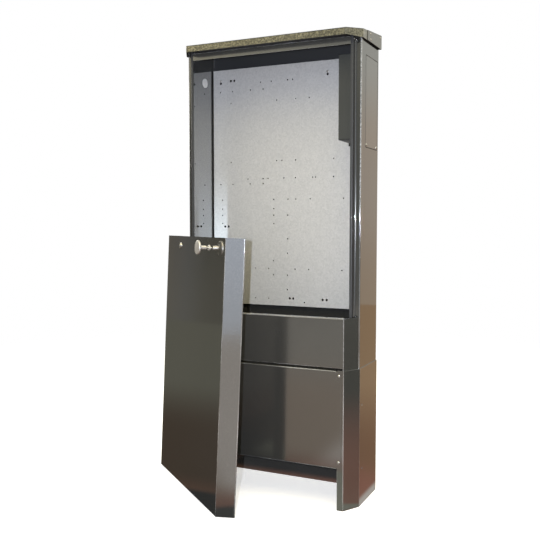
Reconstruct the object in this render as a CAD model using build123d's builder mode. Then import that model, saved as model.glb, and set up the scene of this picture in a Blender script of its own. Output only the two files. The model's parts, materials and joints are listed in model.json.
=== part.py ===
# Free-standing outdoor meter cabinet of folded sheet steel, with its lift-off door leaning on it
# Millimetres, +Z up, front towards -Y, origin at the middle of the four floor bolts

import os
from math import asin, cos, hypot, radians, sin

from build123d import *

# Sheet metal
sheet = 2.0
bend_radius = 3.0
lap_clearance = 0.3
cut_overrun = 20.0

# Plan of the cabinet
body_width = 660.0
body_depth = 246.0
splay_run = 35.0
splay_depth = 60.0

# Base
base_height = 472.0
base_lap = 20.0
base_flange_width = 22.0
foot_width = 35.0
foot_bolt_side_inset = 15.0
foot_bolt_end_inset = 18.0
foot_bolt_hole_radius = 5.5
base_side_hole_radius = 3.5
base_side_hole_shares = ((0.337, 0.733), (0.354, 0.267), (0.634, 0.034))

# Lower panel
panel_bottom = 141.0
panel_side_inset = 8.0
panel_top_gap = 1.0
panel_fold_depth = 12.0
panel_fold_inset = 25.0
panel_screw_inset = 16.0
panel_screw_drop = 18.0
panel_screw_rise = 23.0

# Apron under the door opening
apron_height = 173.0
apron_front_gap = 6.0
apron_return_width = 18.0
apron_ledge_depth = 20.0
apron_bottom_fold_depth = 15.0

# Upper shell and its door opening, measured from the apron's top to the roof's skirt
opening_height = 918.0
flange_width = 22.0
lip_depth = 20.0
lip_return_width = 9.0

# Roof
roof_skirt_depth = 22.0
roof_rise = 25.0
roof_overhang = 6.0
roof_lap_clearance = 0.2
roof_lap_start = 100.0
roof_tab_length = 50.0
rivet_head_radius = 4.0
rivet_head_height = 1.8
rivet_shank_radius = 2.0
rivet_shank_length = 4.0
rivet_clearance = 0.1
rivet_from_lap = 32.0
rivet_low_rise = 8.0
rivet_top_drop = 9.0
rivet_rear_inset = 12.0

# Header over the door opening
header_drop = 21.0
header_band_height = 26.0
header_web_height = 11.0
header_screw_rise = 18.5

# Mounting plate
plate_side_gap = 4.0
plate_stand_off = 13.0
plate_bottom_gap = 6.0
plate_top_gap = 0.3
plate_notch_gap = 12.6
plate_notch_drop = 7.3
plate_slot_inset = 15.5
plate_slot_width = 5.5
plate_slot_depth = 15.0
plate_hole_radius = 2.5
plate_port_radius = 4.5
plate_bolt_shank_radius = 2.0
plate_bolt_clearance = 0.3
plate_bolt_head_radius = 3.8
plate_bolt_head_height = 2.4
plate_bolt_shank_length = 9.0
plate_bolt_column_shares = (0.0515, 0.7255)
plate_bolt_drop = 39.5
plate_keyhole_radius = 4.6
plate_keyhole_drop = 9.5
rail_height = 24.0
rail_bolt_drop = 5.0
rail_bottom_rise = 70.0
rail_port_margin = 3.5
rail_end_inset = 20.0
rail_notch_gap = 7.0

# Hole rows of the plate: height share, then width shares from the left edge
plate_hole_row_shares = (
    (0.936, (0.312, 0.380, 0.483, 0.514)),
    (0.907, (0.048, 0.129, 0.247, 0.328)),
    (0.857, (0.118, 0.415, 0.533, 0.615)),
    (0.607, (0.118, 0.415, 0.448, 0.533, 0.763)),
    (0.534, (0.230, 0.328, 0.360, 0.460, 0.532, 0.637, 0.655, 0.763)),
    (0.513, (0.049, 0.130, 0.244, 0.328)),
    (0.446, (0.060, 0.397, 0.486, 0.535, 0.623, 0.822)),
    (0.407, (0.060, 0.397)),
    (0.380, (0.060, 0.397, 0.485)),
    (0.345, (0.060, 0.397)),
    (0.281, (0.485,)),
    (0.221, (0.483,)),
    (0.188, (0.395,)),
    (0.155, (0.279, 0.364, 0.531, 0.616, 0.815)),
    (0.129, (0.395, 0.483)),
    (0.068, (0.483,)),
    (0.028, (0.279, 0.364)),
    (0.017, (0.589,)),
)
plate_port_row_shares = (
    (0.952, (0.118, 0.141)),
    (0.332, (0.077, 0.100)),
    (0.032, (0.499, 0.520, 0.701, 0.726)),
)

# Niche and hatch in the right wall
hatch_front_inset = 44.0
hatch_rear_inset = 10.0
hatch_height = 306.0
hatch_drop = 45.0
hatch_clearance = 1.8
hatch_tongue_rise = 4.0
hatch_tongue_lap = 18.0
hatch_tongue_inset = 8.0
hatch_screw_inset = 11.0
hatch_screw_rise = 9.0
niche_width = 89.0
niche_front_margin = 12.0
niche_rear_margin = 4.0
niche_floor_rise = 27.0
niche_top_margin = 6.0
niche_ledge_lap = 8.0

# Blanking plug in the left wall
plug_rear_inset = 73.0
plug_drop = 76.0
plug_hole_radius = 16.0
plug_clearance = 0.3
plug_head_radius = 20.0
plug_head_thickness = 3.0
plug_rim_radius = 17.0
plug_rim_thickness = 3.0

# Small screws
screw_head_radius = 5.0
screw_head_height = 3.0
screw_shank_radius = 2.5
screw_shank_length = 10.0
screw_clearance = 0.3
screw_slot_width_share = 0.25
screw_slot_depth_share = 0.5

# Door
door_height_clearance = 8.0
door_depth = 58.0
door_return_width = 14.0
door_hem_depth = 12.0
door_bottom_flange_depth = 18.0
door_turn = 39.1
door_lean = 2.6
door_lean_offset = -29.0
door_rest_gap = 0.3

# Latches of the door, depths measured back from the door's front face
latch_offset = 150.0
latch_drop = 36.0
latch_play = 0.3
running_clearance = 0.05
cam_plane_depth = 44.0
cam_thickness = 2.5
cam_width = 12.0
cam_reach = 26.0
cam_tail = 8.0

# Knob
knob_disc_radius = 24.5
knob_disc_thickness = 7.0
knob_disc_reach = 44.0
knob_rim_radius = 2.5
knob_neck_radius = 7.5
knob_neck_reach = 12.0
knob_socket_depth = 14.0
spindle_radius = 3.0
spindle_collar_radius = 5.0
spindle_thread_length = 8.0
bush_flange_radius = 10.0
bush_flange_thickness = 2.5
bush_radius = 6.0
bush_length = 14.0
bush_nut_across = 17.0
bush_nut_thickness = 5.0
cam_nut_across = 10.0
cam_nut_thickness = 4.5

# Key lock
barrel_flange_radius = 11.0
barrel_flange_thickness = 3.0
barrel_radius = 9.0
barrel_end_gap = 0.5
plug_core_radius = 6.0
plug_core_proud = 0.5
key_slot_width = 1.6
key_slot_length = 8.0
key_slot_depth = 10.0
lock_nut_across = 24.0
lock_nut_thickness = 5.0
cam_screw_shank_radius = 2.5
cam_screw_shank_length = 9.0
cam_screw_head_radius = 4.5
cam_screw_head_height = 3.0

# Places that several pieces share
front_y = -body_depth / 2
rear_y = body_depth / 2
side_x = body_width / 2
front_width = body_width - 2 * splay_run
splay_length = hypot(splay_run, splay_depth)
flange_y = front_y + splay_depth
wall_x = side_x - sheet
back_y = rear_y - sheet
lip_x = side_x - flange_width
apron_top = base_height + apron_height
upper_bottom = base_height - base_lap
lip_front_y = flange_y - lip_depth
roof_skirt_height = apron_top + opening_height
roof_front_height = roof_skirt_height + roof_skirt_depth
roof_rear_height = roof_front_height + roof_rise
roof_run = body_depth + 2 * roof_overhang
header_height = roof_skirt_height - header_drop
roof_top = Plane(
    origin=(0, front_y - roof_overhang, roof_front_height),
    x_dir=(1, 0, 0),
    z_dir=(0, -roof_rise, roof_run),
)
roof_underside = roof_top.offset(-sheet)
plate_y = back_y - plate_stand_off
plate_width = 2 * (wall_x - plate_side_gap)
plate_bottom = apron_top + plate_bottom_gap
plate_top = header_height - plate_top_gap
plate_height = plate_top - plate_bottom
rail_depth = plate_stand_off - sheet
hatch_front_y = flange_y + hatch_front_inset
hatch_rear_y = rear_y - hatch_rear_inset
hatch_top = roof_skirt_height - hatch_drop
hatch_bottom = hatch_top - hatch_height
niche_x = wall_x - niche_width
niche_bottom = hatch_bottom + niche_floor_rise
door_height = opening_height - door_height_clearance

os.makedirs("parts", exist_ok=True)


# Plan corners of the cabinet grown outwards: front corner x, side x, front y, side fold y, rear y
def plan_corners(grow):
    corner_x = front_width / 2 + grow * (splay_length - splay_run) / splay_depth
    fold_y = flange_y - grow * (splay_length - splay_depth) / splay_run
    return corner_x, side_x + grow, front_y - grow, fold_y, rear_y + grow


# Section of a folded sheet: the outer line of the fold, thickened to one side
def folded_sheet(points, side, plane=Plane.XY):
    with BuildSketch(plane) as section:
        with BuildLine():
            fold = FilletPolyline(*points, radius=bend_radius)
            offset(fold, amount=sheet, side=side)
        make_face()
    return section.sketch


# Mirror a half outline in x, to close it symmetrically
def mirrored(points):
    return list(points) + [(-x, y) for x, y in reversed(points)]


# Height of the roof's top face above a place y
def roof_height(y):
    return roof_front_height + (y - front_y + roof_overhang) * roof_rise / roof_run


# A turned piece about the Z axis of its own plane: (radius, height) corners from bottom to top
def turned(corners):
    with BuildPart() as piece:
        with BuildSketch(Plane.XZ):
            with BuildLine():
                Polyline((0, corners[0][1]), *corners, (0, corners[-1][1]), close=True)
            make_face()
        revolve(axis=Axis.Z)
    return piece.part


# A screw or rivet with a domed head, seated at height zero with its shank below
def domed_screw(head_radius, head_height, shank_radius, shank_length):
    rim_height = head_height / 3
    dome_height = head_height - rim_height
    dome_radius = (head_radius**2 + dome_height**2) / (2 * dome_height)
    dome_centre = head_height - dome_radius
    half_angle = asin(head_radius / dome_radius) / 2
    dome_middle = (dome_radius * sin(half_angle), dome_centre + dome_radius * cos(half_angle))
    with BuildPart() as screw:
        with BuildSketch(Plane.XZ):
            with BuildLine():
                Polyline(
                    (0, head_height),
                    (0, -shank_length),
                    (shank_radius, -shank_length),
                    (shank_radius, 0),
                    (head_radius, 0),
                    (head_radius, rim_height),
                )
                ThreePointArc((head_radius, rim_height), dome_middle, (0, head_height))
            make_face()
        revolve(axis=Axis.Z)
    return screw.part


# A straight screwdriver slot across a domed head
def slotted(screw, head_radius, head_height):
    with BuildPart() as piece:
        add(screw)
        with BuildSketch(Plane.XY.offset(head_height)):
            Rectangle(2 * head_radius, head_radius * screw_slot_width_share)
        extrude(amount=-head_height * screw_slot_depth_share, mode=Mode.SUBTRACT)
    return piece.part


def front_plane(x, y, z):
    return Plane(origin=(x, y, z), x_dir=(1, 0, 0), z_dir=(0, -1, 0))


def side_plane(x, y, z):
    return Plane(origin=(x, y, z), x_dir=(0, 1, 0), z_dir=(1 if x > 0 else -1, 0, 0))


# Base: back, sides, splayed corners and front flanges in one folded sheet, with feet on both sides
base_corner_x, base_side_x, base_front_y, base_fold_y, base_rear_y = plan_corners(lap_clearance + sheet)
base_flange_x = base_corner_x - base_flange_width
base_outline = mirrored(
    [
        (base_flange_x, base_front_y),
        (base_corner_x, base_front_y),
        (base_side_x, base_fold_y),
        (base_side_x, base_rear_y),
    ]
)
foot_bolt_x = side_x - foot_bolt_side_inset
foot_bolt_y = -flange_y - foot_bolt_end_inset
base_side_hole_seats = [
    side_plane(hand * base_side_x, front_y + body_depth * depth, base_height * rise)
    for hand in (-1, 1)
    for depth, rise in base_side_hole_shares
]
panel_screw_x = base_corner_x - panel_screw_inset
panel_screw_heights = (panel_bottom + panel_screw_rise, base_height - panel_screw_drop)
panel_screw_seats = [
    front_plane(x, base_front_y - sheet, z)
    for x in (-panel_screw_x, panel_screw_x)
    for z in panel_screw_heights
]

with BuildPart() as base_shell:
    extrude(folded_sheet(base_outline, Side.LEFT), amount=base_height)
    with BuildSketch():
        for hand in (-1, 1):
            with Locations((hand * (base_side_x - foot_width / 2), (base_fold_y + base_rear_y) / 2)):
                Rectangle(foot_width, base_rear_y - base_fold_y - 2 * bend_radius)
        with GridLocations(2 * foot_bolt_x, 2 * foot_bolt_y, 2, 2):
            Circle(foot_bolt_hole_radius, mode=Mode.SUBTRACT)
    extrude(amount=sheet)
    with Locations(*base_side_hole_seats):
        Hole(base_side_hole_radius, depth=cut_overrun)
    with Locations(*panel_screw_seats):
        Hole(screw_shank_radius + screw_clearance, depth=cut_overrun)
base_shell.part.label = "base_shell"
export_step(base_shell.part, "parts/base_shell.step")

# Lower panel: flat sheet on the front flanges, its top and bottom edges folded back between them
panel_front_y = base_front_y - sheet
panel_top = base_height - panel_top_gap
panel_half = base_corner_x - panel_side_inset
panel_fold_half = base_corner_x - panel_fold_inset
panel_fold = [
    (panel_front_y + panel_fold_depth, panel_top),
    (panel_front_y, panel_top),
    (panel_front_y, panel_bottom),
    (panel_front_y + panel_fold_depth, panel_bottom),
]
with BuildPart() as lower_panel:
    extrude(folded_sheet(panel_fold, Side.LEFT, Plane.YZ), amount=panel_fold_half, both=True)
    with BuildSketch(Plane.XZ.offset(-panel_front_y)):
        with Locations((0, (panel_top + panel_bottom) / 2)):
            Rectangle(2 * panel_half, panel_top - panel_bottom - 2 * bend_radius)
    extrude(amount=-sheet)
    with Locations(*panel_screw_seats):
        Hole(screw_shank_radius + screw_clearance, depth=sheet)
lower_panel.part.label = "lower_panel"
export_step(lower_panel.part, "parts/lower_panel.step")

small_screw = slotted(
    domed_screw(screw_head_radius, screw_head_height, screw_shank_radius, screw_shank_length),
    screw_head_radius,
    screw_head_height,
)
with BuildPart() as lower_panel_screws:
    with Locations(*panel_screw_seats):
        add(small_screw)
lower_panel_screws.part.label = "lower_panel_screws"
export_step(lower_panel_screws.part, "parts/lower_panel_screws.step")

# Upper shell: back, sides, front flanges and forward lips turned in at the edge, cut off under the roof
upper_outline = mirrored(
    [
        (lip_x - lip_return_width, lip_front_y),
        (lip_x, lip_front_y),
        (lip_x, flange_y),
        (side_x, flange_y),
        (side_x, rear_y),
    ]
)
header_screw_seats = [
    side_plane(hand * lip_x, flange_y - lip_depth / 2, header_height + header_screw_rise) for hand in (-1, 1)
]
plug_seat = side_plane(-side_x, rear_y - plug_rear_inset, roof_skirt_height - plug_drop)

with BuildPart() as upper_shell:
    with BuildSketch(Plane.XY.offset(upper_bottom)):
        add(folded_sheet(upper_outline, Side.LEFT))
    extrude(amount=roof_rear_height - upper_bottom)
    split(bisect_by=roof_underside, keep=Keep.BOTTOM)
    with BuildSketch(Plane.XY.offset(upper_bottom)):
        with Locations((0, (front_y + flange_y) / 2)):
            Rectangle(body_width, splay_depth)
    extrude(amount=apron_height + base_lap, mode=Mode.SUBTRACT)
    with BuildSketch(Plane.YZ.offset(side_x)):
        with Locations(((hatch_front_y + hatch_rear_y) / 2, (hatch_bottom + hatch_top) / 2)):
            Rectangle(hatch_rear_y - hatch_front_y, hatch_top - hatch_bottom)
    extrude(amount=-cut_overrun, mode=Mode.SUBTRACT)
    with Locations(plug_seat):
        Hole(plug_hole_radius, depth=cut_overrun)
    with Locations(*header_screw_seats):
        Hole(screw_shank_radius + screw_clearance, depth=cut_overrun)
upper_shell.part.label = "upper_shell"
export_step(upper_shell.part, "parts/upper_shell.step")

# Apron: front band with a ledge on top, splayed ends and returns on the front flanges
apron_outline = mirrored(
    [
        (side_x - apron_return_width, flange_y),
        (side_x, flange_y),
        (front_width / 2, front_y),
    ]
)
apron_fold = [
    (front_y + apron_ledge_depth, apron_top),
    (front_y, apron_top),
    (front_y, base_height + apron_front_gap),
    (front_y + apron_bottom_fold_depth, base_height + apron_front_gap),
]
apron_half = front_width / 2 - bend_radius
with BuildPart() as apron:
    with BuildSketch(Plane.XY.offset(upper_bottom)):
        add(folded_sheet(apron_outline, Side.RIGHT))
        with Locations((0, front_y)):
            Rectangle(2 * apron_half, splay_depth, mode=Mode.SUBTRACT)
    extrude(amount=apron_height + base_lap)
    extrude(folded_sheet(apron_fold, Side.LEFT, Plane.YZ), amount=apron_half, both=True)
apron.part.label = "apron"
export_step(apron.part, "parts/apron.step")

# Header: front band between the posts' lips, top and shorter rear web, with end tabs screwed to the lips
header_top = header_height + header_band_height
header_rear_y = flange_y + sheet
header_tab_y = lip_front_y + sheet + lap_clearance
header_band_half = lip_x - lip_return_width - lap_clearance
header_tab_half = lip_x - sheet
header_fold = [
    (lip_front_y, header_height),
    (lip_front_y, header_top),
    (header_rear_y, header_top),
    (header_rear_y, header_top - header_web_height),
]
header_end_fold = [
    (header_tab_y, header_top),
    (header_rear_y, header_top),
    (header_rear_y, header_top - header_web_height),
]
with BuildPart() as header:
    extrude(folded_sheet(header_fold, Side.RIGHT, Plane.YZ), amount=header_band_half, both=True)
    for hand in (-1, 1):
        header_end_plane = Plane.YZ.offset(hand * header_band_half)
        header_end_length = header_tab_half - header_band_half
        extrude(folded_sheet(header_end_fold, Side.RIGHT, header_end_plane), amount=hand * header_end_length)
        with BuildSketch(Plane.YZ.offset(hand * header_tab_half)):
            with Locations(((header_tab_y + header_rear_y) / 2, (header_height + header_top) / 2)):
                Rectangle(header_rear_y - header_tab_y, header_band_height)
        extrude(amount=-hand * sheet)
    with Locations(*header_screw_seats):
        Hole(screw_shank_radius + screw_clearance, depth=cut_overrun)
header.part.label = "header"
export_step(header.part, "parts/header.step")

with BuildPart() as header_screws:
    with Locations(*header_screw_seats):
        add(small_screw)
header_screws.part.label = "header_screws"
export_step(header_screws.part, "parts/header_screws.step")

# Mounting plate: perforated, side edges folded back, cut out at the niche, hung on two keyholes
plate_outline = [
    (plate_width / 2, back_y - lap_clearance),
    (plate_width / 2, plate_y),
    (-plate_width / 2, plate_y),
    (-plate_width / 2, back_y - lap_clearance),
]


def plate_places(row_shares):
    return [
        front_plane(plate_width * (column - 1 / 2), plate_y, plate_bottom + plate_height * row)
        for row, columns in row_shares
        for column in columns
    ]


plate_bolt_z = plate_top - plate_bolt_drop
plate_bolt_columns = [plate_width * (column - 1 / 2) for column in plate_bolt_column_shares]
plate_bolt_seats = [front_plane(x, plate_y, plate_bolt_z) for x in plate_bolt_columns]
plate_bolt_hole = plate_bolt_shank_radius + plate_bolt_clearance
plate_notch_x = niche_x - plate_notch_gap
plate_notch_bottom = niche_bottom - plate_notch_drop
with BuildPart() as mounting_plate:
    extrude(folded_sheet(plate_outline, Side.RIGHT, Plane.XY.offset(plate_bottom)), amount=plate_height)
    with BuildSketch(Plane.XZ):
        with Locations((plate_notch_x, plate_notch_bottom)):
            Rectangle(body_width, opening_height, align=Align.MIN)
    extrude(amount=body_depth, both=True, mode=Mode.SUBTRACT)
    with Locations(*plate_places(plate_hole_row_shares)):
        Hole(plate_hole_radius, depth=sheet + bend_radius)
    with Locations(*plate_places(plate_port_row_shares)):
        Hole(plate_port_radius, depth=sheet + bend_radius)
    with BuildSketch(Plane.XZ.offset(-plate_y)):
        for x in plate_bolt_columns:
            with Locations((x, plate_bolt_z)):
                Circle(plate_bolt_hole)
            with Locations((x, plate_bolt_z - plate_keyhole_drop / 2)):
                Rectangle(2 * plate_bolt_hole, plate_keyhole_drop)
            with Locations((x, plate_bolt_z - plate_keyhole_drop)):
                Circle(plate_keyhole_radius)
        with Locations((plate_notch_x - plate_slot_inset, plate_top)):
            SlotOverall(2 * plate_slot_depth, plate_slot_width, rotation=90)
    extrude(amount=-sheet, mode=Mode.SUBTRACT)
mounting_plate.part.label = "mounting_plate"
export_step(mounting_plate.part, "parts/mounting_plate.step")

# Plate rails: channels on the back wall behind the plate, clear of its ports, the upper one with its bolts
rail_right = plate_width / 2 - rail_end_inset
rail_ends = (rail_right, plate_notch_x - rail_notch_gap)
rail_left = -rail_right
rail_bottoms = (plate_bottom + rail_bottom_rise, plate_bolt_z - rail_bolt_drop)
for rail_name, rail_z, rail_end in zip(("bottom", "top"), rail_bottoms, rail_ends):
    rail_fold = [
        (back_y, rail_z),
        (back_y - rail_depth, rail_z),
        (back_y - rail_depth, rail_z + rail_height),
        (back_y, rail_z + rail_height),
    ]
    with BuildPart() as plate_rail:
        extrude(folded_sheet(rail_fold, Side.RIGHT, Plane.YZ.offset(rail_left)), amount=rail_end - rail_left)
        with Locations(*plate_bolt_seats):
            Hole(plate_bolt_hole, depth=2 * sheet + bend_radius)
        with BuildSketch(*plate_places(plate_port_row_shares)):
            Rectangle(2 * (plate_port_radius + rail_port_margin), 2 * (plate_port_radius + rail_port_margin))
        extrude(amount=-plate_stand_off, mode=Mode.SUBTRACT)
    plate_rail.part.label = f"plate_rail_{rail_name}"
    export_step(plate_rail.part, f"parts/plate_rail_{rail_name}.step")

# Plate bolts: small slotted heads at the top of the plate's keyholes
plate_bolt = slotted(
    domed_screw(
        plate_bolt_head_radius,
        plate_bolt_head_height,
        plate_bolt_shank_radius,
        plate_bolt_shank_length,
    ),
    plate_bolt_head_radius,
    plate_bolt_head_height,
)
with BuildPart() as plate_bolts:
    with Locations(*plate_bolt_seats):
        add(plate_bolt)
plate_bolts.part.label = "plate_bolts"
export_step(plate_bolts.part, "parts/plate_bolts.step")

# Niche box: open towards the right wall, with a ledge below that the hatch is screwed to
niche_front_y = hatch_front_y - niche_front_margin
niche_rear_y = hatch_rear_y + niche_rear_margin
niche_top = hatch_top + niche_top_margin
hatch_screw_seats = [
    side_plane(side_x, y, hatch_bottom + hatch_screw_rise)
    for y in (hatch_front_y + hatch_screw_inset, hatch_rear_y - hatch_screw_inset)
]
with BuildPart() as niche_box:
    with BuildSketch(Plane.YZ.offset(wall_x)):
        with Locations(((niche_front_y + niche_rear_y) / 2, (niche_bottom + niche_top) / 2)):
            Rectangle(niche_rear_y - niche_front_y, niche_top - niche_bottom)
    extrude(amount=-niche_width)
    fillet(niche_box.edges().filter_by(Axis.X), bend_radius)
    offset(amount=-sheet, openings=niche_box.faces().sort_by(Axis.X)[-1])
    with BuildSketch(Plane.YZ.offset(wall_x)):
        with Locations(((niche_front_y + niche_rear_y) / 2, hatch_bottom - niche_ledge_lap)):
            Rectangle(
                niche_rear_y - niche_front_y - 2 * bend_radius,
                niche_floor_rise + niche_ledge_lap + sheet,
                align=(Align.CENTER, Align.MIN),
            )
    extrude(amount=-sheet)
    with Locations(*hatch_screw_seats):
        Hole(screw_shank_radius + screw_clearance, depth=cut_overrun)
niche_box.part.label = "niche_box"
export_step(niche_box.part, "parts/niche_box.step")

# Side hatch: flush plate with a tongue behind the wall at its top
hatch_middle_y = (hatch_front_y + hatch_rear_y) / 2
hatch_width = hatch_rear_y - hatch_front_y - 2 * hatch_clearance
with BuildPart() as side_hatch:
    with BuildSketch(Plane.YZ.offset(wall_x)):
        with Locations((hatch_middle_y, (hatch_bottom + hatch_top) / 2)):
            Rectangle(hatch_width, hatch_top - hatch_bottom - 2 * hatch_clearance)
    extrude(amount=sheet)
    with BuildSketch(Plane.YZ.offset(wall_x)):
        with Locations((hatch_middle_y, hatch_top - hatch_tongue_lap)):
            Rectangle(
                hatch_width - 2 * hatch_tongue_inset,
                hatch_tongue_lap + hatch_tongue_rise - hatch_clearance,
                align=(Align.CENTER, Align.MIN),
            )
    extrude(amount=-sheet)
    with Locations(*hatch_screw_seats):
        Hole(screw_shank_radius + screw_clearance, depth=sheet)
side_hatch.part.label = "side_hatch"
export_step(side_hatch.part, "parts/side_hatch.step")

with BuildPart() as hatch_screws:
    with Locations(*hatch_screw_seats):
        add(small_screw)
hatch_screws.part.label = "hatch_screws"
export_step(hatch_screws.part, "parts/hatch_screws.step")

# Blanking plug: head outside the left wall, snap rim inside
plug_body = turned(
    [
        (plug_rim_radius, -sheet - plug_rim_thickness),
        (plug_rim_radius, -sheet),
        (plug_hole_radius - plug_clearance, -sheet),
        (plug_hole_radius - plug_clearance, 0),
        (plug_head_radius, 0),
        (plug_head_radius, plug_head_thickness),
    ]
)
with BuildPart() as blanking_plug:
    with Locations(plug_seat):
        add(plug_body)
    fillet(blanking_plug.edges().filter_by(GeomType.CIRCLE).sort_by(Axis.X)[0], plug_head_thickness / 2)
blanking_plug.part.label = "blanking_plug"
export_step(blanking_plug.part, "parts/blanking_plug.step")

# Roof: sloping sheet with rear and side lips, stepped out where it laps over the front band
roof_corner_x, roof_side_x, roof_front_y, roof_fold_y, roof_rear_y = plan_corners(roof_overhang)
roof_lap_x = roof_side_x + roof_lap_clearance + sheet
roof_lap_y = front_y + roof_lap_start
roof_profile = [
    (roof_front_y, roof_front_height),
    (roof_rear_y, roof_rear_height),
    (roof_rear_y, roof_skirt_height),
]
roof_outline = mirrored(
    [
        (roof_lap_x, roof_rear_y),
        (roof_lap_x, roof_lap_y),
        (roof_side_x, roof_lap_y),
        (roof_side_x, roof_fold_y),
        (roof_corner_x, roof_front_y),
    ]
)
rivet_y = roof_lap_y + rivet_from_lap
rivet_rear_y = roof_rear_y - rivet_rear_inset
rivet_places = (
    (rivet_y, roof_skirt_height + rivet_low_rise),
    (rivet_y, roof_height(rivet_y) - rivet_top_drop),
    (rivet_rear_y, roof_height(rivet_rear_y) - rivet_top_drop),
)
rivet_seats = [side_plane(hand * roof_lap_x, y, z) for hand in (-1, 1) for y, z in rivet_places]
rivet_hole_radius = rivet_shank_radius + rivet_clearance
with BuildPart() as roof:
    extrude(folded_sheet(roof_profile, Side.RIGHT, Plane.YZ), amount=roof_lap_x, both=True)
    with BuildSketch():
        with BuildLine():
            Polyline(*roof_outline, close=True)
        make_face()
    extrude(amount=2 * roof_rear_height, mode=Mode.INTERSECT)
    for hand in (-1, 1):
        with BuildSketch(Plane.YZ.offset(hand * roof_lap_x)):
            with BuildLine():
                Polyline(
                    (roof_lap_y, roof_skirt_height),
                    (roof_rear_y, roof_skirt_height),
                    (roof_rear_y, roof_rear_height - bend_radius),
                    (roof_lap_y, roof_height(roof_lap_y)),
                    close=True,
                )
            make_face()
        extrude(amount=-hand * sheet)
    with Locations(*rivet_seats):
        Hole(rivet_hole_radius, depth=cut_overrun)
roof.part.label = "roof"
export_step(roof.part, "parts/roof.step")

# Front band of the roof: front, splayed corners and tabs inside the side lips
roof_front_outline = mirrored(
    [
        (roof_side_x, roof_lap_y + roof_tab_length),
        (roof_side_x, roof_fold_y),
        (roof_corner_x, roof_front_y),
    ]
)
with BuildPart() as roof_front:
    with BuildSketch(Plane.XY.offset(roof_skirt_height)):
        add(folded_sheet(roof_front_outline, Side.RIGHT))
    extrude(amount=roof_rear_height - roof_skirt_height)
    split(bisect_by=roof_underside, keep=Keep.BOTTOM)
    with Locations(*rivet_seats):
        Hole(rivet_hole_radius, depth=cut_overrun)
roof_front.part.label = "roof_front"
export_step(roof_front.part, "parts/roof_front.step")

rivet = domed_screw(rivet_head_radius, rivet_head_height, rivet_shank_radius, rivet_shank_length)
with BuildPart() as roof_rivets:
    with Locations(*rivet_seats):
        add(rivet)
roof_rivets.part.label = "roof_rivets"
export_step(roof_rivets.part, "parts/roof_rivets.step")

# The leaning door's own frame: x along its width, y back into it, z up along it, origin at its front foot
turn = radians(door_turn)
lean = radians(door_lean)
door_foot_rise = door_depth * sin(lean)
door_stand_off = (sheet + door_rest_gap + (apron_top - door_foot_rise) * sin(lean)) / cos(lean)
door_plane = Plane(
    origin=(
        -front_width / 2 - door_lean_offset * cos(turn) - door_stand_off * sin(turn),
        front_y + door_lean_offset * sin(turn) - door_stand_off * cos(turn),
        door_foot_rise,
    ),
    x_dir=(cos(turn), -sin(turn), 0),
    z_dir=(sin(lean) * sin(turn), sin(lean) * cos(turn), cos(lean)),
)
door_section_plane = Plane(origin=door_plane.origin, x_dir=door_plane.y_dir, z_dir=door_plane.x_dir)
latch_z = door_height - latch_drop


# A seat on the door: z of the seat points out of the door's front, y up along the door
def door_seat(x, depth, z):
    return Plane(
        origin=door_plane.from_local_coords((x, depth, z)),
        x_dir=door_plane.x_dir,
        z_dir=-door_plane.y_dir,
    )


knob_seat = door_seat(latch_offset, 0, latch_z)
knob_axis = Axis(knob_seat.origin, knob_seat.z_dir)
lock_seat = door_seat(-latch_offset, 0, latch_z)
lock_axis = Axis(lock_seat.origin, lock_seat.z_dir)

# Door shell: tray with splayed sides, rear returns, hemmed top and a flange at the bottom
door_side_x = front_width / 2 + splay_run * door_depth / splay_depth
door_outline = mirrored(
    [
        (door_side_x - door_return_width, door_depth),
        (door_side_x, door_depth),
        (front_width / 2, 0),
    ]
)
door_fold = [
    (0, door_height),
    (0, 0),
    (door_bottom_flange_depth, 0),
]
door_half = front_width / 2 - bend_radius
with BuildPart() as door_shell:
    with BuildSketch(door_plane):
        add(folded_sheet(door_outline, Side.RIGHT))
        Rectangle(2 * door_half, splay_depth, mode=Mode.SUBTRACT)
    extrude(amount=door_height)
    extrude(folded_sheet(door_fold, Side.LEFT, door_section_plane), amount=door_half, both=True)
    with BuildSketch(door_plane.offset(door_height - door_hem_depth)):
        with Locations((0, 1.5 * sheet)):
            Rectangle(2 * door_half, sheet)
    extrude(amount=door_hem_depth)
    with Locations(knob_seat):
        Hole(bush_radius + screw_clearance, depth=cut_overrun)
    with Locations(lock_seat):
        Hole(barrel_radius + screw_clearance, depth=cut_overrun)
door_shell.part.label = "door_shell"
export_step(door_shell.part, "parts/door_shell.step")


# A nut: hexagon with a bore, from the seat plane backwards
def nut(seat, depth, across, thickness, bore):
    with BuildPart() as piece:
        with BuildSketch(seat.offset(-depth)):
            RegularPolygon(across / 2, 6, major_radius=False)
            Circle(bore, mode=Mode.SUBTRACT)
        extrude(amount=-thickness)
    return piece.part


# A latch cam: round-ended bar on its shaft, at rest pointing along -x of the door
def cam(seat, bore):
    with BuildPart() as piece:
        with BuildSketch(seat.offset(-cam_plane_depth)):
            with Locations(((cam_tail - cam_reach) / 2, 0)):
                RectangleRounded(cam_reach + cam_tail, cam_width, bend_radius)
            Circle(bore, mode=Mode.SUBTRACT)
        extrude(amount=-cam_thickness)
    return piece.part


# Knob bush: rosette on the front, sleeve through the sheet
spindle_bore = spindle_radius + running_clearance
with BuildPart() as knob_bush:
    with BuildSketch(knob_seat):
        Circle(bush_flange_radius)
    extrude(amount=bush_flange_thickness)
    fillet(knob_bush.edges().group_by(knob_axis)[-1], bush_flange_thickness / 2)
    with BuildSketch(knob_seat):
        Circle(bush_radius)
    extrude(amount=-bush_length)
    with Locations(knob_seat.offset(bush_flange_thickness)):
        Hole(spindle_bore)
knob_bush.part.label = "knob_bush"
export_step(knob_bush.part, "parts/knob_bush.step")

knob_bush_nut = nut(knob_seat, sheet, bush_nut_across, bush_nut_thickness, bush_radius + running_clearance)
knob_bush_nut.label = "knob_bush_nut"
export_step(knob_bush_nut, "parts/knob_bush_nut.step")

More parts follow.
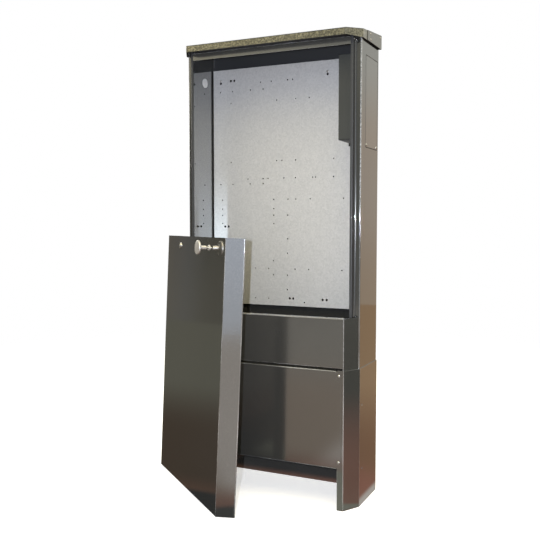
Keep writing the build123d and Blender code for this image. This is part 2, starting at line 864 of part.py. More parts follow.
# Knob: turned disc on a waisted neck, with a socket for the spindle
knob_disc_back = knob_disc_reach - knob_disc_thickness
with BuildPart() as knob:
    with BuildSketch(Plane(origin=knob_seat.origin, x_dir=knob_seat.x_dir, z_dir=-knob_seat.y_dir)):
        with BuildLine():
            Polyline(
                (spindle_bore, knob_neck_reach + knob_socket_depth),
                (spindle_bore, knob_neck_reach),
                (knob_neck_radius, knob_neck_reach),
                (knob_neck_radius, knob_disc_back - knob_neck_radius),
            )
            RadiusArc(
                (knob_neck_radius, knob_disc_back - knob_neck_radius),
                (2 * knob_neck_radius, knob_disc_back),
                knob_neck_radius,
            )
            Polyline(
                (2 * knob_neck_radius, knob_disc_back),
                (knob_disc_radius, knob_disc_back),
                (knob_disc_radius, knob_disc_reach),
                (0, knob_disc_reach),
                (0, knob_neck_reach + knob_socket_depth),
                (spindle_bore, knob_neck_reach + knob_socket_depth),
            )
        make_face()
    revolve(axis=knob_axis)
    fillet(knob.edges().filter_by(GeomType.CIRCLE).group_by(SortBy.RADIUS)[-1], knob_rim_radius)
knob.part.label = "knob"
export_step(knob.part, "parts/knob.step")

# Spindle: front journal in the bush, collar behind it, threaded end for the cam
spindle = turned(
    [
        (spindle_radius, -cam_plane_depth - spindle_thread_length),
        (spindle_radius, -cam_plane_depth),
        (spindle_collar_radius, -cam_plane_depth),
        (spindle_collar_radius, -bush_length - latch_play),
        (spindle_radius, -bush_length - latch_play),
        (spindle_radius, knob_neck_reach + knob_socket_depth),
    ]
)
with BuildPart() as knob_spindle:
    with Locations(knob_seat):
        add(spindle)
knob_spindle.part.label = "knob_spindle"
export_step(knob_spindle.part, "parts/knob_spindle.step")

knob_cam = cam(knob_seat, spindle_bore)
knob_cam.label = "knob_cam"
export_step(knob_cam, "parts/knob_cam.step")

cam_back_depth = cam_plane_depth + cam_thickness
knob_cam_nut = nut(knob_seat, cam_back_depth, cam_nut_across, cam_nut_thickness, spindle_bore)
knob_cam_nut.label = "knob_cam_nut"
export_step(knob_cam_nut, "parts/knob_cam_nut.step")

# Lock barrel: round face, threaded body through the sheet
barrel_length = cam_plane_depth - barrel_end_gap
with BuildPart() as lock_barrel:
    with BuildSketch(lock_seat):
        Circle(barrel_flange_radius)
    extrude(amount=barrel_flange_thickness)
    fillet(lock_barrel.edges().group_by(lock_axis)[-1], barrel_flange_thickness / 3)
    with BuildSketch(lock_seat):
        Circle(barrel_radius)
    extrude(amount=-barrel_length)
    with Locations(lock_seat.offset(barrel_flange_thickness)):
        Hole(plug_core_radius + running_clearance)
lock_barrel.part.label = "lock_barrel"
export_step(lock_barrel.part, "parts/lock_barrel.step")

lock_nut = nut(lock_seat, sheet, lock_nut_across, lock_nut_thickness, barrel_radius + running_clearance)
lock_nut.label = "lock_nut"
export_step(lock_nut, "parts/lock_nut.step")

# Lock plug: turning core with a key slot in front and a screw hole behind
plug_front = barrel_flange_thickness + plug_core_proud
with BuildPart() as lock_plug:
    with BuildSketch(lock_seat.offset(plug_front)):
        Circle(plug_core_radius)
    extrude(amount=-plug_front - cam_plane_depth)
    with BuildSketch(lock_seat.offset(plug_front)):
        Rectangle(key_slot_width, key_slot_length)
    extrude(amount=-key_slot_depth, mode=Mode.SUBTRACT)
    with BuildSketch(lock_seat.offset(-cam_plane_depth)):
        Circle(cam_screw_shank_radius + running_clearance)
    extrude(amount=cam_screw_shank_length, mode=Mode.SUBTRACT)
lock_plug.part.label = "lock_plug"
export_step(lock_plug.part, "parts/lock_plug.step")

lock_cam = cam(lock_seat, cam_screw_shank_radius + running_clearance)
lock_cam.label = "lock_cam"
export_step(lock_cam, "parts/lock_cam.step")

cam_screw = slotted(
    domed_screw(
        cam_screw_head_radius,
        cam_screw_head_height,
        cam_screw_shank_radius,
        cam_screw_shank_length,
    ),
    cam_screw_head_radius,
    cam_screw_head_height,
)
cam_screw_seat = Plane(
    origin=door_plane.from_local_coords((-latch_offset, cam_back_depth, latch_z)),
    x_dir=door_plane.x_dir,
    z_dir=door_plane.y_dir,
)
with BuildPart() as lock_cam_screw:
    with Locations(cam_screw_seat):
        add(cam_screw)
lock_cam_screw.part.label = "lock_cam_screw"
export_step(lock_cam_screw.part, "parts/lock_cam_screw.step")
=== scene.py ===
# Free-standing outdoor meter cabinet of folded sheet steel, empty, with its lift-off door leaning on it
# Metres, +Z up, front towards -Y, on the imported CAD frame
import json
import math

import bpy
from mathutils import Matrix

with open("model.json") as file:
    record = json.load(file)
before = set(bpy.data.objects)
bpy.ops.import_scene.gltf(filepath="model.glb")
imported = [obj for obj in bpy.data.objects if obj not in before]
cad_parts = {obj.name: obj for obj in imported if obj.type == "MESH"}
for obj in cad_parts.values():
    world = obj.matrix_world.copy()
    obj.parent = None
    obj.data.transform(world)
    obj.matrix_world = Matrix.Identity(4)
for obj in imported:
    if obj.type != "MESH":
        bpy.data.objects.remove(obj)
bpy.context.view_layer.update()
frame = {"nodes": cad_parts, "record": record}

nodes = frame["nodes"]
scene = bpy.context.scene


# Base shell: the cabinet's lower half, one steel sheet folded round the back, sides, splayed corners and
# front flanges. It is stoved with hammer enamel, a grey-olive paint full of metal flake that flows into
# fine dimples and dries to a mirror gloss, here dusty at the foot. Its edges and bends are paled strongly,
# partly as rubbed wear and partly as a painted highlight where the folds catch the light
class Field:
    def __init__(self, tree, socket=None):
        self.tree = tree
        self.socket = socket

    def node(self, kind, settings=None, sockets=None, out=0):
        made = self.tree.nodes.new("ShaderNode" + kind)
        for name, value in (settings or {}).items():
            if name == "stops":
                while len(made.color_ramp.elements) < len(value):
                    made.color_ramp.elements.new(1.0)
                for element, (place, colour) in zip(made.color_ramp.elements, value):
                    element.position = place
                    element.color = (*colour, 1.0)
            else:
                setattr(made, name, value)
        for name, value in (sockets or {}).items():
            if isinstance(value, Field):
                self.tree.links.new(value.socket, made.inputs[name])
            else:
                made.inputs[name].default_value = value
        return Field(self.tree, made.outputs[out] if made.outputs else None)

    def math(self, operation, first, second):
        return self.node("Math", {"operation": operation}, {0: first, 1: second})

    def __add__(self, other):
        return self.math("ADD", self, other)

    def __sub__(self, other):
        return self.math("SUBTRACT", self, other)

    def __rsub__(self, other):
        return self.math("SUBTRACT", other, self)

    def __mul__(self, other):
        return self.math("MULTIPLY", self, other)

    def __truediv__(self, other):
        return self.math("DIVIDE", self, other)

    __radd__ = __add__
    __rmul__ = __mul__


def opaque(colour):
    return (*colour, 1.0)


def blend_colours(field, share, first, second):
    return field.node("Mix", {"data_type": "RGBA"}, {0: share, 6: first, 7: second}, out=2)


def ease(field, value, low, high):
    limits = {"Value": value, "From Min": low, "From Max": high}
    return field.node("MapRange", {"interpolation_type": "SMOOTHSTEP"}, limits)


def larger(field, first, second):
    return field.math("MAXIMUM", first, second)


def along(field, vector, axis):
    return field.node("SeparateXYZ", None, {0: vector}, out=axis)


def alignment(field, first, second):
    return field.node("VectorMath", {"operation": "DOT_PRODUCT"}, {0: first, 1: second}, out="Value")


def noise(field, place, pitch, detail):
    return field.node("TexNoise", None, {"Vector": place, "Scale": 1 / pitch, "Detail": detail})


def drawn_upwards(field, place, stretch):
    return field.node("Mapping", None, {"Vector": place, "Scale": (1.0, 1.0, stretch)})


def relief_of(field, strength, depth, height):
    return field.node("Bump", None, {"Strength": strength, "Distance": depth, "Height": height})


def new_finish(name):
    material = bpy.data.materials.new(name)
    material.use_nodes = True
    material.node_tree.nodes.clear()
    field = Field(material.node_tree)
    return material, field, field.node("TexCoord", out="Object")


def close_finish(field, sockets):
    shader = field.node("BsdfPrincipled", None, sockets)
    field.node("OutputMaterial", None, {0: shader})


def give_finish(material, *piece_names):
    for piece_name in piece_names:
        slots = nodes[piece_name].data.materials
        slots.clear()
        slots.append(material)


enamel_low_tone = (0.205, 0.205, 0.193)
enamel_high_tone = (0.265, 0.262, 0.247)
enamel_mottle = (0.35, 1.1)
dimple_softness = 0.7
dimple_depth = 0.0006
flake_pitch = 0.0019
flake_metal = 0.84
cloud_pitch = 0.18
rubbed_tone = (0.50, 0.50, 0.49)
scratch_pitch = 0.0022
scratch_stretch = 0.035
scratch_strokes = (0.66, 0.74)
scratched_clouds = (0.50, 0.70)
bared_and_highlight_tone = (0.78, 0.79, 0.80)
bared_and_highlight_share = 0.9
edge_turn = (0.84, 0.97)
bend_turn = (0.9985, 0.99999)
worn_patches = (0.45, 0.95)
dust_tone = (0.44, 0.41, 0.36)
dust_heights = (0.0, 0.10)
dusty_clouds = (0.30, 0.65)
shade_tone = (0.030, 0.032, 0.035)
underside_turn = (-0.6, -0.2)


def hammer_enamel(
    name, low_tone, high_tone, gloss=0.035, dimple=0.0033, relief=0.05, rub=0.25, dust=0.0, underside_shade=0.0,
    edge_wear_and_highlight=0.12, edge_shade=0.0, edge_reach=0.003, fold_glints=None, painted_shade=None
):
    material, field, place = new_finish(name)
    cells = {"Vector": place, "Scale": 1 / dimple, "Smoothness": dimple_softness}
    dimples = field.node("TexVoronoi", {"feature": "SMOOTH_F1"}, cells)
    flake = noise(field, place, flake_pitch, 2.0)
    cloud = noise(field, place, cloud_pitch, 4.0)
    tone = 0.6 * ease(field, dimples + 0.4 * flake, *enamel_mottle) + 0.4 * cloud
    paint = blend_colours(field, tone, opaque(low_tone), opaque(high_tone))
    strokes = noise(field, drawn_upwards(field, place, scratch_stretch), scratch_pitch, 3.0)
    scratches = ease(field, strokes, *scratch_strokes) * ease(field, cloud, *scratched_clouds) * rub
    worn = blend_colours(field, scratches, paint, opaque(rubbed_tone))
    shaded = field.node("NewGeometry", out="Normal")
    flat = field.node("NewGeometry", out="True Normal")
    rounded = field.node("Bevel", {"samples": 6}, {"Radius": edge_reach})
    # Edges and bends are paled towards a bright bare tone: partly rubbed wear, partly a painted highlight
    # where the folds catch the light
    edges = 1 - ease(field, alignment(field, rounded, shaded), *edge_turn)
    bends = 1 - ease(field, alignment(field, flat, shaded), *bend_turn)
    rubbed_and_highlit = larger(field, edge_wear_and_highlight * edges, bends) * ease(field, cloud + 0.5 * flake, *worn_patches)
    if fold_glints:
        bared_and_highlit = fold_glints(field, place, rubbed_and_highlit, dimples + 0.6 * flake)
    else:
        bared_and_highlit = bared_and_highlight_share * rubbed_and_highlit
    worn_and_highlit_paint = blend_colours(field, bared_and_highlit, worn, opaque(bared_and_highlight_tone))
    settled = 1 - ease(field, along(field, place, "Z"), *dust_heights)
    dusty = settled * ease(field, 0.6 * cloud + 0.4 * flake, *dusty_clouds) * dust
    dusted = blend_colours(field, dusty, worn_and_highlit_paint, opaque(dust_tone))
    # Painted shade: downward faces, bevelled edges and the given zones are darkened towards the shade tone
    # and dulled, where set
    underneath = 1 - ease(field, along(field, shaded, "Z"), *underside_turn)
    dark = larger(field, underside_shade * underneath, edge_shade * edges)
    if painted_shade:
        dark = larger(field, dark, painted_shade(field, place))
    dulled = 0.12 * scratches + 0.25 * bared_and_highlit + 0.5 * dusty + 0.4 * dark
    close_finish(field, {
        "Base Color": blend_colours(field, dark, dusted, opaque(shade_tone)),
        "Metallic": flake_metal - 0.8 * dusty - 0.6 * bared_and_highlit - flake_metal * dark,
        "Roughness": gloss * (0.7 + 0.6 * flake) + dulled,
        "Coat Weight": 1 - 0.6 * scratches - 0.6 * bared_and_highlit - 0.9 * dusty - dark,
        "Coat Roughness": 0.005 + 0.5 * gloss,
        "Normal": relief_of(field, relief, dimple_depth, dimples + 0.5 * flake),
    })
    return material


base_enamel = hammer_enamel("base_enamel", enamel_low_tone, enamel_high_tone, edge_wear_and_highlight=0.5, dust=0.1)
give_finish(base_enamel, "base_shell")


# Lower panel: a flat cover with its long edges folded back, screwed on the base's front flanges over an
# open gap for the cables. The same enamel, a little more rubbed where it is lifted off
panel_enamel = hammer_enamel("panel_enamel", enamel_low_tone, enamel_high_tone, gloss=0.12, rub=0.4)
give_finish(panel_enamel, "lower_panel")


# Lower panel's screws: four turned steel screws with domed, slotted heads, plated with bright zinc that
# has dulled in fine clouds
plating_low_tone = (0.52, 0.515, 0.49)
plating_high_tone = (0.80, 0.79, 0.76)
plating_grain_pitch = 0.0011
plating_cloud_pitch = 0.006
plating_relief = 0.08
plating_depth = 0.0002


def zinc_plating(name, gloss):
    material, field, place = new_finish(name)
    grain = noise(field, place, plating_grain_pitch, 2.0)
    cloud = noise(field, place, plating_cloud_pitch, 3.0)
    tone = 0.45 * grain + 0.55 * cloud
    close_finish(field, {
        "Base Color": blend_colours(field, tone, opaque(plating_low_tone), opaque(plating_high_tone)),
        "Metallic": 1.0,
        "Roughness": gloss + 0.2 * cloud,
        "Normal": relief_of(field, plating_relief, plating_depth, grain),
    })
    return material


give_finish(zinc_plating("panel_screw_zinc", gloss=0.18), "lower_panel_screws")


# Upper shell: the tall half, one sheet folded round the back and sides into front flanges, with lips that
# stand forward and turn in for the door to close over. Its enamel is darkened on the lips and inside above
# the mounting plate as painted shade, and paled in specks along the outer folds as painted glints
shell_low_tone = (0.155, 0.156, 0.149)
shell_high_tone = (0.205, 0.205, 0.195)
shell_wear_and_glint_share = 0.75
outer_fold = 0.3265
outer_fold_blur = 0.002
lip_front = min(corner[1] for corner in nodes["upper_shell"].bound_box)
lip_rear = lip_front + 0.017
lip_blur = 0.001
lip_shade = 0.9
fold_start = lip_front + 0.020
fold_end = fold_start + 0.013
glint_heights = (0.8, 1.2)
glint_mottle = (0.50, 1.1)
glint_ground = 0.35
inner_half_width = (0.3265, 0.3275)
back_near = (0.05, 0.06)
back_far = (0.1215, 0.1222)
above_plate = (1.515, 1.525)


def between(field, value, rise, fall):
    return ease(field, value, *rise) * (1 - ease(field, value, *fall))


def unsigned(field, value):
    return field.math("ABSOLUTE", value, 0)


# Painted glints: specks on the sides near the front folds, from about a metre up, are paled like the rubbed
# edges
def outer_fold_glints(field, place, rubbed_and_highlit, mottle):
    out = unsigned(field, along(field, place, "X"))
    outside = ease(field, out, outer_fold - outer_fold_blur, outer_fold + outer_fold_blur)
    near_fold = 1 - ease(field, along(field, place, "Y"), fold_start, fold_end)
    raised = ease(field, along(field, place, "Z"), *glint_heights)
    painted_glints = near_fold * raised * (glint_ground + (1 - glint_ground) * ease(field, mottle, *glint_mottle))
    return larger(field, rubbed_and_highlit, painted_glints) * outside * shell_wear_and_glint_share


# Painted shade: the lips and the back wall above the mounting plate are darkened to the shade tone
def shell_painted_shade(field, place):
    out = unsigned(field, along(field, place, "X"))
    deep = along(field, place, "Y")
    on_lips = lip_shade * (1 - ease(field, deep, lip_rear - lip_blur, lip_rear + lip_blur))
    on_back = (1 - ease(field, out, *inner_half_width)) * between(field, deep, back_near, back_far)
    return larger(field, on_lips, on_back * ease(field, along(field, place, "Z"), *above_plate))


shell_enamel = hammer_enamel(
    "shell_enamel", shell_low_tone, shell_high_tone, gloss=0.012,
    fold_glints=outer_fold_glints, painted_shade=shell_painted_shade
)
give_finish(shell_enamel, "upper_shell")


# Apron: the fixed front band under the door opening, one sheet folded to a ledge on top and splayed at both
# ends to meet the base's corners. Its enamel is duller, and paled along its edges and bends, the ledge's
# fold among them, partly as wear and partly as a painted highlight
apron_enamel = hammer_enamel(
    "apron_enamel", enamel_low_tone, enamel_high_tone, gloss=0.18, rub=0.35, edge_wear_and_highlight=0.4
)
give_finish(apron_enamel, "apron")


# Header: a folded cross-member over the opening, its front band flush with the posts' turned-in lips. The
# door's latches swing up behind it. Its end tabs are screwed through the lips from outside
header_low_tone = (0.27, 0.27, 0.25)
header_high_tone = (0.34, 0.335, 0.315)
give_finish(hammer_enamel("header_enamel", header_low_tone, header_high_tone, gloss=0.2), "header")
give_finish(zinc_plating("header_screw_zinc", gloss=0.15), "header_screws")


# Mounting plate: galvanised sheet with its side edges folded back and rows of punched holes, hung by two
# keyholes. The zinc has frozen into small dull crystals with a faint grain along the rolled sheet
zinc_low_tone = (0.46, 0.465, 0.46)
zinc_high_tone = (0.74, 0.735, 0.72)
crystal_pitch = 0.0055
zinc_grain_pitch = 0.0014
roll_stretch = 0.06
zinc_relief = 0.06
zinc_depth = 0.0003


def galvanising(name):
    material, field, place = new_finish(name)
    crystals = field.node("TexVoronoi", None, {"Vector": place, "Scale": 1 / crystal_pitch}, out="Color")
    crystal = field.node("RGBToBW", None, {0: crystals})
    grain = noise(field, place, zinc_grain_pitch, 3.0)
    streaks = noise(field, drawn_upwards(field, place, roll_stretch), zinc_grain_pitch, 2.0)
    tone = 0.45 * crystal + 0.30 * grain + 0.25 * streaks
    close_finish(field, {
        "Base Color": blend_colours(field, tone, opaque(zinc_low_tone), opaque(zinc_high_tone)),
        "Metallic": 0.30 + 0.15 * crystal,
        "Roughness": 0.40 + 0.2 * crystal,
        "Normal": relief_of(field, zinc_relief, zinc_depth, crystal + grain),
    })
    return material


galvanised = galvanising("galvanised_sheet")
give_finish(galvanised, "mounting_plate")


# Plate rails and bolts: folded galvanised channels on the back wall, and two slotted bolts in the upper
# one that the plate hangs on
give_finish(galvanised, "plate_rail_top", "plate_rail_bottom")
give_finish(zinc_plating("plate_bolt_zinc", gloss=0.2), "plate_bolts")


# Niche box: a folded steel box fixed on the right wall behind the hatch, open to the hatch's side. It is
# painted a dull dark grey with a fine orange-peel skin
niche_low_tone = (0.028, 0.031, 0.028)
niche_high_tone = (0.044, 0.046, 0.042)
niche_peel_pitch = 1 / 450
niche_haze_pitch = 1 / 14
niche_relief = 0.1
niche_depth = 0.0004
niche_paint, field, place = new_finish("niche_paint")
peel = noise(field, place, niche_peel_pitch, 2.0)
haze = noise(field, place, niche_haze_pitch, 4.0)
tone = 0.5 * peel + 0.5 * haze
close_finish(field, {
    "Base Color": blend_colours(field, tone, opaque(niche_low_tone), opaque(niche_high_tone)),
    "Roughness": 0.38 + 0.2 * haze,
    "Normal": relief_of(field, niche_relief, niche_depth, peel),
})
give_finish(niche_paint, "niche_box")


# Side hatch: a flat cover of the niche, set flush into the right wall and enamelled like it, with painted
# shade darkening its edges for the gap round it. A tongue holds it at the top and two plated screws below
hatch_enamel = hammer_enamel(
    "hatch_enamel", enamel_low_tone, enamel_high_tone, rub=0.4, edge_shade=0.9, edge_reach=0.005
)
give_finish(hatch_enamel, "side_hatch")
give_finish(zinc_plating("hatch_screw_zinc", gloss=0.18), "hatch_screws")


# Blanking plug: a round cap of white moulded plastic, a little soiled, pushed into the left wall's cable
# hole from outside until its rim snaps in behind the sheet
plug_low_tone = (0.72, 0.72, 0.70)
plug_high_tone = (0.83, 0.83, 0.81)
plug_grain_pitch = 1 / 1200
plug_grime_pitch = 1 / 60
plug_relief = 0.1
plug_depth = 0.0002
plug_plastic, field, place = new_finish("plug_plastic")
grain = noise(field, place, plug_grain_pitch, 2.0)
grime = noise(field, place, plug_grime_pitch, 3.0)
tone = 0.3 * grain + 0.7 * grime
close_finish(field, {
    "Base Color": blend_colours(field, tone, opaque(plug_low_tone), opaque(plug_high_tone)),
    "Roughness": 0.42 + 0.12 * grime,
    "Normal": relief_of(field, plug_relief, plug_depth, grain),
})
give_finish(plug_plastic, "blanking_plug")


# Roof: a sloping sheet with rear and side lips, enamelled on top, with its underside darkened and dulled as
# painted shade. Its enamel has weathered a little more olive
roof_low_tone = (0.10, 0.097, 0.082)
roof_high_tone = (0.29, 0.28, 0.235)
roof_enamel = hammer_enamel("roof_enamel", roof_low_tone, roof_high_tone, gloss=0.1, relief=0.3, underside_shade=1.0)
give_finish(roof_enamel, "roof")


# Roof front: a folded band with splayed corners, riveted under the roof's side lips. Its enamel was laid on
# thick and has dried in coarse olive dimples, whose palest tone stands in partly for painted glints on
# them. Its underside is darkened as painted shade
front_low_tone = (0.070, 0.066, 0.047)
front_high_and_glint_tone = (0.66, 0.62, 0.44)
front_enamel = hammer_enamel(
    "roof_front_enamel", front_low_tone, front_high_and_glint_tone, gloss=0.12, dimple=0.0048, relief=0.7, underside_shade=1.0
)
give_finish(front_enamel, "roof_front")
give_finish(zinc_plating("rivet_zinc", gloss=0.15), "roof_rivets")


# Door: a folded tray with splayed sides, hemmed at the top and flanged at the bottom, lifted off and
# leaning on the apron's corner. Enamelled all over, with fine rubs from handling
door_enamel = hammer_enamel("door_enamel", enamel_low_tone, enamel_high_tone, rub=0.5, relief=0.1)
give_finish(door_enamel, "door_shell")


# Knob: a turned knob on a waisted neck, of satin aluminium with the fine rings that the lathe left. It
# turns in a rosetted bush, held by a nut behind the sheet, and swings a cam of plated steel
turned_low_tone = (0.76, 0.74, 0.70)
turned_high_tone = (0.92, 0.90, 0.86)
turned_cloud_pitch = 1 / 120
lathe_pitch = 0.0009
lathe_relief = 0.06
lathe_depth = 0.0001


def turned_metal(name, joint_name, gloss):
    joint = next(joint for joint in frame["record"]["behaviour"]["joints"] if joint["name"] == joint_name)
    material, field, place = new_finish(name)
    offset = field.node("VectorMath", {"operation": "SUBTRACT"}, {0: place, 1: joint["pos_m"]})
    axis = field.node("CombineXYZ", None, dict(zip("XYZ", joint["axis"])))
    across = field.node("VectorMath", {"operation": "CROSS_PRODUCT"}, {0: offset, 1: axis})
    radius = field.node("VectorMath", {"operation": "LENGTH"}, {0: across}, out="Value")
    rings = field.node("Math", {"operation": "SINE"}, {0: radius * (2 * math.pi / lathe_pitch)})
    cloud = noise(field, place, turned_cloud_pitch, 3.0)
    close_finish(field, {
        "Base Color": blend_colours(field, cloud, opaque(turned_low_tone), opaque(turned_high_tone)),
        "Metallic": 1.0,
        "Roughness": gloss + 0.12 * cloud,
        "Normal": relief_of(field, lathe_relief, lathe_depth, rings),
    })
    return material


latch_zinc = zinc_plating("latch_zinc", gloss=0.22)
give_finish(turned_metal("knob_metal", "knob_turn", gloss=0.36), "knob", "knob_bush")
give_finish(latch_zinc, "knob_bush_nut", "knob_spindle", "knob_cam", "knob_cam_nut")


# Key lock: a barrel with a round face and a turning core, of satin metal, with its nut, cam and cam screw
# of plated steel behind the sheet
give_finish(turned_metal("lock_metal", "lock_turn", gloss=0.2), "lock_barrel", "lock_plug")
give_finish(latch_zinc, "lock_nut", "lock_cam", "lock_cam_screw")


# Room: a plain studio that the gloss mirrors, as bands of tone round the horizon at three heights under a
# pale ceiling, and white where the camera looks past the cabinet
low_bands = (
    (0.00, (0.95, 1.02, 1.18)),
    (0.03, (0.34, 0.34, 0.33)),
    (0.0535, (0.23, 0.23, 0.215)),
    (0.0542, (0.11, 0.105, 0.09)),
    (0.09, (0.10, 0.097, 0.085)),
    (0.20, (0.144, 0.138, 0.12)),
    (0.299, (0.10, 0.095, 0.075)),
    (0.302, (0.12, 0.115, 0.09)),
    (0.3035, (0.135, 0.14, 0.14)),
    (0.3075, (0.15, 0.14, 0.115)),
    (0.42, (0.42, 0.33, 0.255)),
    (0.55, (0.52, 0.40, 0.29)),
    (0.65, (0.375, 0.30, 0.24)),
    (0.72, (0.10, 0.115, 0.11)),
    (0.85, (0.22, 0.21, 0.19)),
    (0.935, (0.15, 0.145, 0.13)),
    (0.955, (0.95, 1.02, 1.18)),
)
middle_bands = (
    (0.00, (1.14, 1.25, 1.50)),
    (0.03, (0.26, 0.27, 0.26)),
    (0.0535, (0.18, 0.19, 0.172)),
    (0.0542, (0.10, 0.095, 0.08)),
    (0.09, (0.065, 0.065, 0.058)),
    (0.20, (0.12, 0.12, 0.108)),
    (0.299, (0.07, 0.065, 0.05)),
    (0.302, (0.09, 0.085, 0.065)),
    (0.3035, (0.105, 0.115, 0.13)),
    (0.3075, (0.13, 0.115, 0.095)),
    (0.42, (0.45, 0.405, 0.345)),
    (0.55, (0.585, 0.495, 0.41)),
    (0.65, (0.45, 0.405, 0.345)),
    (0.72, (0.30, 0.285, 0.255)),
    (0.85, (0.24, 0.24, 0.22)),
    (0.935, (0.17, 0.17, 0.165)),
    (0.955, (1.14, 1.25, 1.50)),
)
high_bands = (
    (0.00, (0.60, 0.62, 0.65)),
    (0.05, (0.22, 0.22, 0.19)),
    (0.06, (0.47, 0.455, 0.38)),
    (0.09, (0.76, 0.70, 0.52)),
    (0.20, (0.22, 0.21, 0.165)),
    (0.31, (0.18, 0.18, 0.15)),
    (0.55, (0.58, 0.575, 0.53)),
    (0.65, (0.63, 0.60, 0.52)),
    (0.72, (0.46, 0.47, 0.44)),
    (0.85, (0.45, 0.45, 0.42)),
    (0.95, (0.60, 0.62, 0.65)),
)
ceiling_tone = (1.30, 1.22, 1.05)
white = (1.0, 1.0, 1.0)
low_to_middle = (-0.10, 0.05)
middle_to_high = (0.10, 0.22)
high_to_ceiling = (0.45, 0.75)
world = bpy.data.worlds.new("studio")
world.use_nodes = True
world.node_tree.nodes.clear()
room = Field(world.node_tree)
direction = room.node("TexCoord", out="Generated")
upward = along(room, direction, "Z")
bearing = room.math("ARCTAN2", along(room, direction, "X"), along(room, direction, "Y"))
compass = bearing / (2 * math.pi) + 0.5
low_ring, middle_ring, high_ring = (
    room.node("ValToRGB", {"stops": bands}, {0: compass}) for bands in (low_bands, middle_bands, high_bands)
)
lower_walls = blend_colours(room, ease(room, upward, *low_to_middle), low_ring, middle_ring)
walls = blend_colours(room, ease(room, upward, *middle_to_high), lower_walls, high_ring)
all_sides = blend_colours(room, ease(room, upward, *high_to_ceiling), walls, opaque(ceiling_tone))
seen = room.node("LightPath", out="Is Camera Ray")
backdrop = blend_colours(room, seen, all_sides, opaque(white))
room.node("OutputWorld", None, {0: room.node("Background", None, {0: backdrop, 1: 1.0})})
scene.world = world


# Floor: plain pale paper under the object that fades into the white backdrop. To every ray but the camera's
# it glows instead as a painted ground, which the gloss mirrors: pale beside the cabinet, grey in front and
# brown further off, and dark under and just in front of the cabinet as painted shadow
floor_size = 12.0
floor_drop = 0.0003
paper_tone = (0.90, 0.90, 0.90)
paper_strength = 0.55
paper_fade = (1.6, 4.0)
ground_shadow = (0.022, 0.024, 0.026)
ground_beside = (0.66, 0.61, 0.56)
ground_corner = (0.36, 0.37, 0.31)
ground_left_near = (0.066, 0.045, 0.03)
ground_left_far = (0.145, 0.143, 0.112)
ground_right_near = (0.345, 0.16, 0.113)
ground_right_far = (0.065, 0.07, 0.06)
ground_back_near = (0.28, 0.155, 0.09)
ground_back_far = (0.45, 0.295, 0.17)
ground_front_left = (0.38, 0.30, 0.24)
ground_front_far = (0.35, 0.33, 0.30)
ground_front_right = (0.69, 0.63, 0.60)
left_reach = (-2.4, -1.1)
right_reach = (0.7, 2.2)
back_reach = (0.45, 2.0)
front_reach = (-3.0, -1.5)
front_to_rear = (-0.75, -0.45)
left_to_right = (-0.5, 0.2)
behind_reach = (0.0, 0.3)
behind_slant = 0.35
behind_side = (-0.3, 0.3)
front_step = 0.03
front_step_start = 0.75
front_step_width = 0.07
front_step_spread = 0.09
covered_half_width = 0.325
covered_half_depth = 0.30
covered_middle = -0.18
covered_edge = (-0.06, 0.0)
strip_inner = (-0.02, 0.0)
strip_outer = (0.020, 0.040)
strip_front = (-0.09, -0.05)
strip_rear = (0.18, 0.34)
splay_across, splay_deep = 0.87, 0.49
splay_x, splay_y = 0.332, -0.063
base_front_y = -0.125
corner_edge = (0.0, 0.01)
corner_inner = (0.05, 0.15)
corner_outer = (0.350, 0.375)
corner_front = (-0.60, -0.46)
corner_rear = (-0.06, -0.03)
bpy.ops.object.select_all(action="DESELECT")
bpy.ops.mesh.primitive_plane_add(size=floor_size, location=(0, 0, -floor_drop))
floor = bpy.context.object
floor.name = "floor"
ground, field, place = new_finish("ground")
distance = field.node("VectorMath", {"operation": "LENGTH"}, {0: place}, out="Value")
across = along(field, place, "X")
deep = along(field, place, "Y")


def ground_blend(value, reach, first, second):
    first = first if isinstance(first, Field) else opaque(first)
    second = second if isinstance(second, Field) else opaque(second)
    return blend_colours(field, ease(field, value, *reach), first, second)


left = ground_blend(across, left_reach, ground_left_far, ground_left_near)
right = ground_blend(across, right_reach, ground_right_near, ground_right_far)
middle = ground_blend(across, left_to_right, left, right)
back = ground_blend(deep, back_reach, ground_back_near, ground_back_far)
behind = ease(field, deep - behind_slant * across, *behind_reach) * ease(field, across, *behind_side)
rear_part = blend_colours(field, behind, middle, back)
front_left = ground_blend(deep, front_reach, ground_front_far, ground_front_left)
step_width = front_step_width - front_step_spread * (deep + front_step_start)
front = ground_blend((across - front_step) / step_width, (-1.0, 1.0), front_left, ground_front_right)
all_round = ground_blend(deep, front_to_rear, front, rear_part)
past_side = unsigned(field, across) - covered_half_width
past_ends = unsigned(field, deep - covered_middle) - covered_half_depth
beside_wall = between(field, past_side, strip_inner, strip_outer)
side_strip = beside_wall * between(field, deep, strip_front, strip_rear)
with_strip = blend_colours(field, side_strip, all_round, opaque(ground_beside))
open_ground = ground_blend(larger(field, past_side, past_ends), covered_edge, ground_shadow, with_strip)
past_splay = splay_across * (across - splay_x) - splay_deep * (deep - splay_y)
past_corner = ease(field, larger(field, past_splay, base_front_y - deep), *corner_edge)
corner_span = between(field, across, corner_inner, corner_outer)
corner_patch = past_corner * corner_span * between(field, deep, corner_front, corner_rear)
mirrored_ground = blend_colours(field, corner_patch, open_ground, opaque(ground_corner))
paper = field.node("BsdfDiffuse", None, {"Color": opaque(paper_tone)})
paper_glow = field.node("Emission", None, {"Color": opaque(white), "Strength": paper_strength})
lit_paper = field.node("AddShader", None, {0: paper, 1: paper_glow})
clear = field.node("BsdfTransparent")
fading_paper = field.node("MixShader", None, {0: ease(field, distance, *paper_fade), 1: lit_paper, 2: clear})
ground_glow = field.node("Emission", None, {"Color": mirrored_ground, "Strength": 1.0})
seen = field.node("LightPath", out="Is Camera Ray")
ground_shader = field.node("MixShader", None, {0: seen, 1: ground_glow, 2: fading_paper})
field.node("OutputMaterial", None, {0: ground_shader})
floor.data.materials.append(ground)
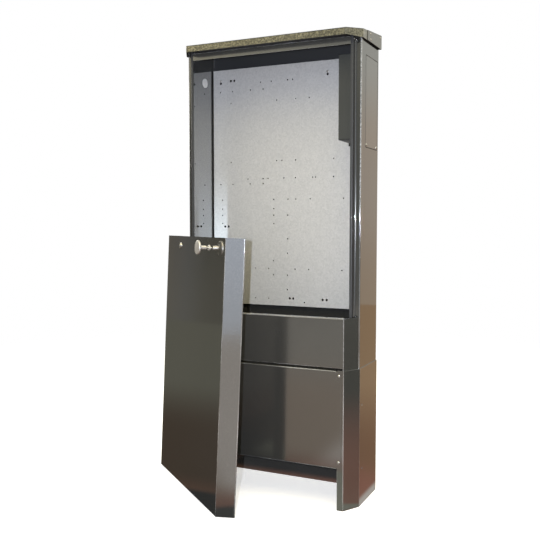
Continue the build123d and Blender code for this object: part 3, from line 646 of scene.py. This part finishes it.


# Lights: a narrow upright lamp just left of the lens, a wide soft one above and in front, and a weaker soft
# one on the left aimed at the door's face
def area_lamp(name, power, tone, place, turns, width, height=None):
    light = bpy.data.lights.new(name, "AREA")
    light.energy = power
    light.color = tone
    light.size = width
    if height:
        light.shape = "RECTANGLE"
        light.size_y = height
    lamp = bpy.data.objects.new(name, light)
    lamp.location = place
    lamp.rotation_euler = [math.radians(turn) for turn in turns]
    scene.collection.objects.link(lamp)
    return lamp


lens_turn = 25.36
cool_tone = (0.82, 0.87, 1.0)
amber_tone = (1.0, 0.87, 0.48)
warm_tone = (1.0, 0.97, 0.92)
front_place = (0.994, -2.467, 0.992)
area_lamp("front_lamp", 43.0, cool_tone, front_place, turns=(91.5, 0, lens_turn), width=0.014, height=0.07)
area_lamp("soft_lamp", 44.0, amber_tone, (0.6, -1.6, 3.2), turns=(28, 0, 20), width=2.0)
area_lamp("side_lamp", 14.0, warm_tone, (-2.5, 0.5, 1.6), turns=(75, 0, -107), width=0.6)


# Edge lamp: a narrow strip inside the left wall, which stands for the front lamp's light thrown back by the
# glossy wall on the edge of the plate, strongest low down
edge_tone = (0.72, 0.86, 1.0)
edge_place = (-0.295, 0.06, 1.10)
edge_spread = 14
edge_fade = (0.15, 0.60)
edge_strength_high = 0.04
edge_strength_low = 3.0
edge_lamp = area_lamp("edge_lamp", 0.09, edge_tone, edge_place, turns=(90, 0, 0), width=0.062, height=0.88)
edge_light = edge_lamp.data
edge_light.spread = math.radians(edge_spread)
edge_light.use_nodes = True
edge_light.node_tree.nodes.clear()
strip = Field(edge_light.node_tree)
up_strip = along(strip, strip.node("NewGeometry", out="Parametric"), "Y")
strength = edge_strength_high + edge_strength_low * (1 - ease(strip, up_strip, *edge_fade))
glow = strip.node("Emission", None, {"Color": opaque(white), "Strength": strength})
strip.node("OutputLight", None, {0: glow})
edge_lamp.visible_camera = False
edge_lamp.visible_glossy = False


# Camera: a slightly long lens right of the cabinet's front, a little above half its height, turned left
# towards it and looking slightly down
lens_drop = 3.549
camera_data = bpy.data.cameras.new("camera")
camera_data.sensor_width = 36.0
camera_data.lens = 49.41
camera = bpy.data.objects.new("camera", camera_data)
camera.location = (1.1117, -2.4113, 0.9562)
camera.rotation_euler = (math.radians(90 - lens_drop), 0, math.radians(lens_turn))
scene.collection.objects.link(camera)
scene.camera = camera
scene.view_settings.view_transform = "Standard"
